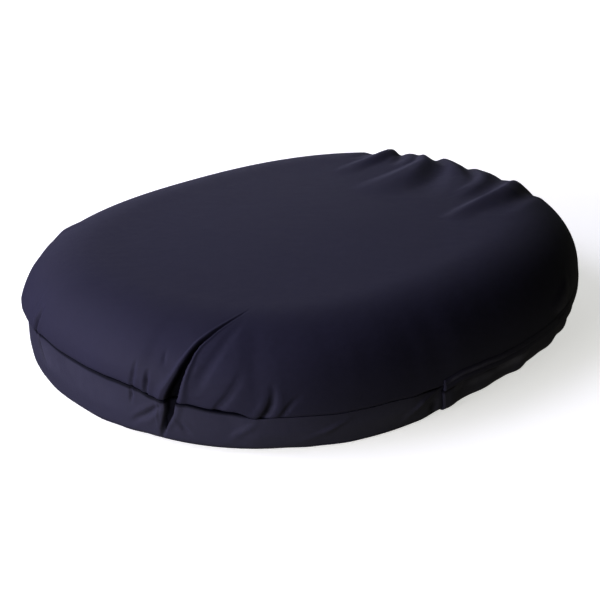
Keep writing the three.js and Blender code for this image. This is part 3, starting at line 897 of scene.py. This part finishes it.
def closure_lip():
    """The narrow lip over the closure's opening."""
    rim = rim_at(closure_places())
    standing = lip_standing(rim.u)
    outer = []
    inner = []
    for rows, section in ((outer, LIP_OUTER), (inner, LIP_INNER)):
        for out, rise in section:
            pressed = lift_of(TOP_FOLDS, rim.u, np.full_like(rim.u, rise + SEAM_TO_RIM))
            reach = LIP_LINE + (out - LIP_LINE) * standing if rows is outer else out
            rows.append(cover_points(rim, -reach, rim.seam + rise, 1, 0, pressed))
    heights = [rim.seam + rise for _, rise in LIP_OUTER]
    return strip("closure_lip_cloth", rim, outer, inner, heights, lip_painted_highlight)


def base_panel():
    """The flat oval base with its rounded edge."""
    rim = rim_at(columns([(0, 4.0)], 0, RIM_LENGTH))
    rings = []
    for turn in np.linspace(0, np.pi / 2, 7):
        inset = side_inset(rim, CLOTH + GAP) + 0.3 + BASE_ROUNDING * (1 - math.sin(turn))
        z = CLOTH * (1 - math.cos(turn)) * np.ones_like(rim.u)
        rings.append(cover_points(rim, inset, z, 0, 0, 0))
    rings = np.stack(rings)
    data = np.concatenate([rings[..., :2], np.zeros_like(rings[..., :1])], axis=2)
    points, faces, data = stitch_rings(rings, data)
    return mesh_object("base_cloth", points, faces, data[:, :2], data[:, 2])


# Materials


def new_material(name):
    """A material, its node tree and its shader."""
    material = bpy.data.materials.new(name)
    material.use_nodes = True
    return material, material.node_tree, material.node_tree.nodes["Principled BSDF"]


def add_node(tree, kind, **values):
    """A node with its settings. An input takes a starting value or another node's output."""
    node = tree.nodes.new(kind)
    for name, value in values.items():
        if isinstance(value, bpy.types.NodeSocket):
            tree.links.new(value, node.inputs[name])
        elif name in node.inputs:
            node.inputs[name].default_value = value
        else:
            setattr(node, name, value)
    return node


def noise(tree, coordinates, scale, detail):
    """Soft random spots from 0 to 1."""
    spots = dict(Vector=coordinates, Scale=scale, Detail=detail, Roughness=0.55)
    return add_node(tree, "ShaderNodeTexNoise", **spots).outputs["Fac"]


def mixed(tree, factor, low, high):
    """A colour between two colours; each is a colour or an output."""
    low, high = ((*end, 1) if isinstance(end, tuple) else end for end in (low, high))
    node = add_node(tree, "ShaderNodeMix", data_type="RGBA", Factor=factor, A=low, B=high)
    return node.outputs["Result"]


def ranged(tree, value, low, high, start=0.0, end=1.0):
    """A value moved from the range start to end to the range low to high, and held there."""
    ends = {"From Min": start, "From Max": end, "To Min": low, "To Max": high}
    return add_node(tree, "ShaderNodeMapRange", Value=value, **ends).outputs["Result"]


def joined(tree, operation, first, second):
    """Two values multiplied, or the larger of them."""
    node = add_node(tree, "ShaderNodeMath", operation=operation)
    tree.links.new(first, node.inputs[0])
    tree.links.new(second, node.inputs[1])
    return node.outputs[0]


def thread_wave(tree, coordinates, direction, pitch):
    """One set of threads on the flat cloth, a ridge every pitch metres."""
    scale = math.pi / 10 / pitch
    waves = {"Vector": coordinates, "Scale": scale, "Distortion": 0.6, "Detail Scale": 0.2}
    node = add_node(tree, "ShaderNodeTexWave", bands_direction=direction, **waves)
    return node.outputs["Fac"]


def bumped(tree, height, strength, depth, **under):
    """A fine relief, its depth in millimetres."""
    relief = dict(Strength=strength, Distance=depth * MM, Height=height, **under)
    return add_node(tree, "ShaderNodeBump", **relief).outputs["Normal"]


def navy_cloth(name, tone, pitch):
    """Matt satin-woven navy cloth: threads, slightly uneven dye, painted shade in seams and folds, and
    painted highlights.
    """
    material, tree, shader = new_material(name)
    flat = add_node(tree, "ShaderNodeUVMap", uv_map="cloth").outputs["UV"]
    body = add_node(tree, "ShaderNodeTexCoord").outputs["Object"]

    dye = noise(tree, body, 9, 3)
    slubs = noise(tree, body, 260, 4)
    spots = ranged(tree, noise(tree, body, 22, 5), 0, 1, 0.52, 0.72)
    tone = np.array(tone)
    cool = tuple(tone * [0.95, 0.96, 1.04])
    warm = tuple(tone * [1.06, 1.04, 0.98])
    colour = mixed(tree, ranged(tree, dye, 0, 1, 0.3, 0.7), cool, warm)
    pale = tuple(tone * [1.16, 1.15, 1.10])
    colour = mixed(tree, ranged(tree, slubs, 0, 1, 0.25, 0.75), colour, pale)
    colour = mixed(tree, ranged(tree, spots, 0, 0.3), colour, tuple(tone * 1.25))
    shade = add_node(tree, "ShaderNodeAttribute", attribute_name="painted_shade_light").outputs["Fac"]
    # Painted shade: the cloth goes near black where the attribute is above zero.
    colour = mixed(tree, ranged(tree, shade, 0, 0.97), colour, tuple(tone * [0.02, 0.02, 0.1]))
    # Painted highlights: the cloth goes lighter, in uneven patches, where the attribute is below zero.
    patchy = ranged(tree, noise(tree, body, 95, 4), 0.35, 1.25, 0.36, 0.62)
    painted_highlight = joined(tree, "MULTIPLY", ranged(tree, shade, 1, 0, -1, 0), patchy)
    colour = mixed(tree, painted_highlight, colour, tuple(tone * [2.6, 2.6, 2.2]))
    tree.links.new(colour, shader.inputs["Base Color"])

    warp, weft = (thread_wave(tree, flat, direction, pitch) for direction in "XY")
    weave = joined(tree, "MAXIMUM", warp, weft)
    threads = bumped(tree, weave, 0.35, 0.12)
    uneven = bumped(tree, noise(tree, body, 75, 3), 0.5, 0.5, Normal=threads)
    tree.links.new(uneven, shader.inputs["Normal"])

    tree.links.new(ranged(tree, slubs, 0.54, 0.68), shader.inputs["Roughness"])
    shader.inputs["Specular IOR Level"].default_value = 0.06
    shader.inputs["Sheen Weight"].default_value = 0.01
    shader.inputs["Sheen Roughness"].default_value = 0.4
    shader.inputs["Sheen Tint"].default_value = (0.6, 0.6, 1.0, 1)
    return material


# Stitches


def stitch_tree():
    """Geometry nodes that lay one thread stitch after another along a line."""
    tree = bpy.data.node_groups.new("stitch_line", "GeometryNodeTree")
    face = tree.interface
    face.new_socket("Geometry", in_out="INPUT", socket_type="NodeSocketGeometry")
    for name in ("Pitch", "Stitch Length", "Thread Width"):
        face.new_socket(name, in_out="INPUT", socket_type="NodeSocketFloat")
    face.new_socket("Seed", in_out="INPUT", socket_type="NodeSocketInt")
    face.new_socket("Thread", in_out="INPUT", socket_type="NodeSocketMaterial")
    face.new_socket("Geometry", in_out="OUTPUT", socket_type="NodeSocketGeometry")
    start = add_node(tree, "NodeGroupInput").outputs
    curve = add_node(tree, "GeometryNodeMeshToCurve", Mesh=start["Geometry"]).outputs["Curve"]
    pitch = start["Pitch"]
    resample = add_node(tree, "GeometryNodeResampleCurve", mode="LENGTH", Curve=curve, Length=pitch)
    along = add_node(tree, "GeometryNodeInputTangent").outputs["Tangent"]
    turn = add_node(tree, "FunctionNodeAlignRotationToVector", axis="Z", Vector=along)
    thread = add_node(tree, "GeometryNodeMeshIcoSphere", Radius=0.5, Subdivisions=1)
    width = start["Thread Width"]
    size = add_node(tree, "ShaderNodeCombineXYZ", X=width, Y=width, Z=start["Stitch Length"])
    spread = dict(Min=0.9, Max=1.1, Seed=start["Seed"])
    uneven = add_node(tree, "FunctionNodeRandomValue", data_type="FLOAT", **spread)
    scale = add_node(tree, "ShaderNodeVectorMath", operation="SCALE", Vector=size.outputs["Vector"])
    tree.links.new(uneven.outputs[1], scale.inputs["Scale"])
    laid = add_node(
        tree,
        "GeometryNodeInstanceOnPoints",
        Points=resample.outputs["Curve"],
        Instance=thread.outputs["Mesh"],
        Rotation=turn.outputs["Rotation"],
        Scale=scale.outputs["Vector"],
    ).outputs["Instances"]
    solid = add_node(tree, "GeometryNodeRealizeInstances", Geometry=laid).outputs["Geometry"]
    coloured = add_node(tree, "GeometryNodeSetMaterial", Geometry=solid, Material=start["Thread"])
    add_node(tree, "NodeGroupOutput", Geometry=coloured.outputs["Geometry"])
    return tree


def sewn_line(name, lines, tree, thread, seed):
    """Stitches along lines of points in millimetres, as one plain mesh."""
    points = []
    edges = []
    for line in lines:
        edges.extend((len(points) + k, len(points) + k + 1) for k in range(len(line) - 1))
        points.extend(in_place(line).tolist())
    mesh = bpy.data.meshes.new(name + "_guide")
    mesh.from_pydata(points, edges, [])
    guide = linked(name + "_guide", mesh)
    modifier = guide.modifiers.new("stitches", "NODES")
    modifier.node_group = tree
    inputs = [item for item in tree.interface.items_tree if item.in_out == "INPUT"]
    sockets = {item.name: item.identifier for item in inputs}
    for label, value in (
        ("Pitch", STITCH_PITCH * MM),
        ("Stitch Length", STITCH_LENGTH * MM),
        ("Thread Width", THREAD_WIDTH * MM),
        ("Seed", seed),
        ("Thread", thread),
    ):
        modifier[sockets[label]] = value
    ready = guide.evaluated_get(bpy.context.evaluated_depsgraph_get())
    stitches = bpy.data.meshes.new_from_object(ready)
    bpy.data.objects.remove(guide)
    stitches.polygons.foreach_set("use_smooth", [True] * len(stitches.polygons))
    return linked(name, stitches)


def thread_material():
    """Navy sewing thread, slightly lighter than the cloth, with the ridges of its twist."""
    material, tree, shader = new_material("navy_thread")
    body = add_node(tree, "ShaderNodeTexCoord").outputs["Object"]
    tone = np.array((0.018, 0.017, 0.036))
    colour = mixed(tree, noise(tree, body, 180, 3), tuple(tone * 0.8), tuple(tone * 1.25))
    tree.links.new(colour, shader.inputs["Base Color"])
    waves = dict(bands_direction="DIAGONAL", Vector=body, Scale=700, Distortion=1.0)
    twist = add_node(tree, "ShaderNodeTexWave", **waves).outputs["Fac"]
    tree.links.new(bumped(tree, twist, 0.5, 0.05), shader.inputs["Normal"])
    tree.links.new(ranged(tree, twist, 0.45, 0.6), shader.inputs["Roughness"])
    shader.inputs["Specular IOR Level"].default_value = 0.2
    return material


def lip_seam():
    """The line of stitches in the groove under the closure lip's rolled edge."""
    places = closure_places()[1:-1]
    rim = rim_at(places)
    pressed = lift_of(TOP_FOLDS, rim.u, np.full_like(rim.u, LIP_STITCH_RISE + SEAM_TO_RIM))
    inset = -LIP_LINE - 1.05 * lip_standing(rim.u)
    return [cover_points(rim, inset, rim.seam + LIP_STITCH_RISE, 1, 0, pressed)]


def base_seam():
    """The line of stitches that joins the base panel to the side cloth, seen from below."""
    rim = rim_at(columns([(0, 3.0)], 0, RIM_LENGTH))
    inset = side_inset(rim, CLOTH + GAP) + BASE_ROUNDING + 3.0
    line = cover_points(rim, inset, 0.12 * np.ones_like(rim.u), 0, 0, 0)
    return [np.vstack([line, line[:1]])]


# Stage


LIGHT_DISTANCE = 2.4
FLOOR_HALF = 9.0

# Soft lights: name, heading from +X, elevation, size, power and colour
LIGHTS = [
    ("low_left_softbox", 160, 12, (2.4, 0.9), 29.6, (0.99, 0.98, 1.36)),
    ("left_softbox", 178, 14, (1.8, 1.0), 49, (1.03, 1.0, 1.02)),
    ("overhead_softbox", 125, 40, (2.4, 1.6), 42.7, (0.99, 0.98, 1.22)),
    ("rear_strip", 60, 14, (1.8, 1.0), 6.5, (0.98, 0.97, 1.3)),
    ("right_rear_softbox", 30, 30, (2.0, 1.4), 4.4, (1, 1, 1)),
]


def make_camera():
    """The photo's view."""
    azimuth = math.radians(CAMERA_AZIMUTH)
    elevation = math.radians(CAMERA_ELEVATION)
    flat = math.cos(elevation)
    back = Vector((math.sin(azimuth) * flat, -math.cos(azimuth) * flat, math.sin(elevation)))
    right = Vector((math.cos(azimuth), math.sin(azimuth), 0))
    up = back.cross(right)
    roll = math.radians(CAMERA_ROLL)
    turned_right = right * math.cos(roll) + up * math.sin(roll)
    turned_up = up * math.cos(roll) - right * math.sin(roll)
    data = bpy.data.cameras.new("photo_view")
    data.sensor_width = SENSOR_WIDTH
    data.lens = SENSOR_WIDTH * FOCAL_PIXELS / IMAGE_PIXELS
    data.clip_end = 50
    camera = linked("photo_view", data)
    camera.location = (Vector(CAMERA_TARGET) + back * CAMERA_DISTANCE) * MM + SHIFT
    camera.rotation_mode = "QUATERNION"
    camera.rotation_quaternion = Matrix((turned_right, turned_up, back)).transposed().to_quaternion()
    bpy.context.scene.camera = camera


def area_light(name, heading, elevation, size, power, color):
    """A soft light that faces the cushion from a heading and an elevation."""
    data = bpy.data.lights.new(name, "AREA")
    data.shape = "RECTANGLE"
    data.size, data.size_y = size
    data.energy = power
    data.color = color
    light = linked(name, data)
    h = math.radians(heading)
    e = math.radians(elevation)
    direction = Vector((math.cos(h) * math.cos(e), math.sin(h) * math.cos(e), math.sin(e)))
    light.location = direction * LIGHT_DISTANCE
    light.rotation_mode = "QUATERNION"
    light.rotation_quaternion = direction.to_track_quat("Z", "Y")


def make_floor():
    """A pale floor that throws no light back on the cushion; the world's light stands for that."""
    mesh = bpy.data.meshes.new("studio_floor")
    corners = [(x * FLOOR_HALF, y * FLOOR_HALF, 0) for x, y in ((-1, -1), (1, -1), (1, 1), (-1, 1))]
    mesh.from_pydata(corners, [], [(0, 1, 2, 3)])
    floor = linked("studio_floor", mesh)
    material, _, shader = new_material("pale_floor")
    shader.inputs["Base Color"].default_value = (0.9, 0.9, 0.9, 1)
    shader.inputs["Roughness"].default_value = 0.9
    shader.inputs["Specular IOR Level"].default_value = 0.1
    shader.inputs["Emission Color"].default_value = (1.0, 1.0, 0.97, 1)
    shader.inputs["Emission Strength"].default_value = 0.6
    mesh.materials.append(material)
    floor.visible_diffuse = False
    floor.visible_glossy = False


def make_world():
    """Weak warm light from below and the front, in place of the floor's bounce."""
    world = bpy.data.worlds.new("studio")
    world.use_nodes = True
    tree = world.node_tree
    around = add_node(tree, "ShaderNodeTexCoord").outputs["Generated"]
    split = add_node(tree, "ShaderNodeSeparateXYZ", Vector=around)
    background = tree.nodes["Background"]
    background.inputs["Color"].default_value = (1.02, 1.0, 0.68, 1)
    below = ranged(tree, split.outputs["Z"], 1, 0.05, -0.02, 0.02)
    front = add_node(tree, "ShaderNodeVectorMath", operation="DOT_PRODUCT")
    tree.links.new(around, front.inputs[0])
    front.inputs[1].default_value = (-0.67, -0.74, 0)
    from_front = ranged(tree, front.outputs["Value"], 0.07, 0.68, -0.1, 0.9)
    strength = joined(tree, "MULTIPLY", below, from_front)
    tree.links.new(strength, background.inputs["Strength"])
    bpy.context.scene.world = world
    bpy.context.scene.view_settings.view_transform = "Standard"


make_camera()
make_floor()
for light in LIGHTS:
    area_light(*light)
make_world()

# Each piece: what makes it, the CAD node that it replaces, its slot, its cloth's tone and thread pitch.
# All are one navy cloth: the side band's and closure strip's lighter tone, and the lip's slightly
# lighter one, are painted light.
PIECES = [
    (top_cushion, "cushion_body", "top_cloth", (0.0143, 0.0136, 0.0287), 0.55),
    (side_band, "side_band", "band_cloth", (0.0190, 0.0184, 0.0342), 0.6),
    (closure_strip, "closure_strip", "strip_cloth", (0.0190, 0.0184, 0.0342), 0.6),
    (closure_lip, "closure_lip", "lip_cloth", (0.0155, 0.0148, 0.0300), 0.6),
    (base_panel, "base_panel", "base_cloth", (0.0143, 0.0136, 0.0287), 0.7),
]
for build, node, slot, tone, pitch in PIECES:
    piece = build()
    piece.data.materials.append(navy_cloth(f"navy_{slot}", tone, pitch * MM))
    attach(piece, "root")
    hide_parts(node)

tree = stitch_tree()
thread = thread_material()
for name, line, slot, seed in (
    ("lip_stitches", lip_seam, "lip_cloth", 3),
    ("base_stitches", base_seam, "base_cloth", 5),
):
    piece = sewn_line(name, line(), tree, thread, seed)
    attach(piece, "root")
